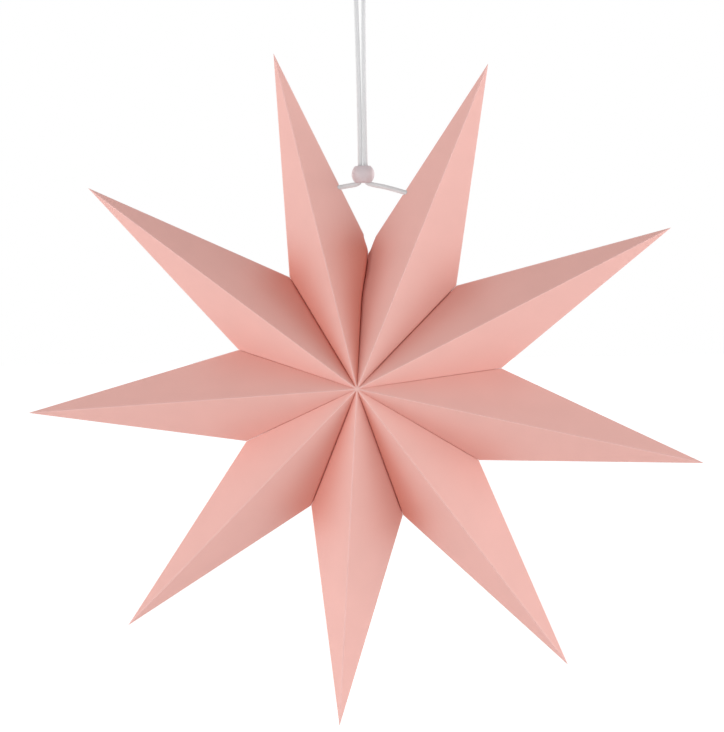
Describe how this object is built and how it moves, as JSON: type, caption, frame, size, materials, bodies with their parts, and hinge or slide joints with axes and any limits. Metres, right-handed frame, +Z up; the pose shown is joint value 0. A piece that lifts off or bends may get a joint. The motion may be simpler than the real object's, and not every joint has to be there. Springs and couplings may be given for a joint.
{
  "type": "folded paper star lantern",
  "caption": "Hanging star lantern of folded card points glued side by side, with a cord loop and a sliding bead that draws the open seam together.",
  "frame": {"origin": "the hang point: the inside top of the cord's loop, 185 mm above the star's centre", "axes": "+Z up along the hanging cord, +X to the right as seen from the front, -Y towards the viewer, square to the star's flat side"},
  "size_m": [0.2955, 0.0636, 0.3363],
  "materials": {
    "card": "matt",
    "cord": "woven",
    "bead": "satin"
  },
  "bodies": {
    "star": {"point_1": "card", "point_2": "card", "point_3": "card", "point_4": "card", "point_5": "card", "point_6": "card", "point_7": "card", "point_8": "card", "point_9": "card", "hanging_cord": "cord", "left_knot": "cord", "right_knot": "cord"},
    "slider": {"bead": "bead"}
  },
  "joints": [
    {"name": "bead_slide", "type": "slide", "parent": "star", "child": "slider", "axis": [0, 0, 1], "range_m": [0, 0.025]}
  ]
}
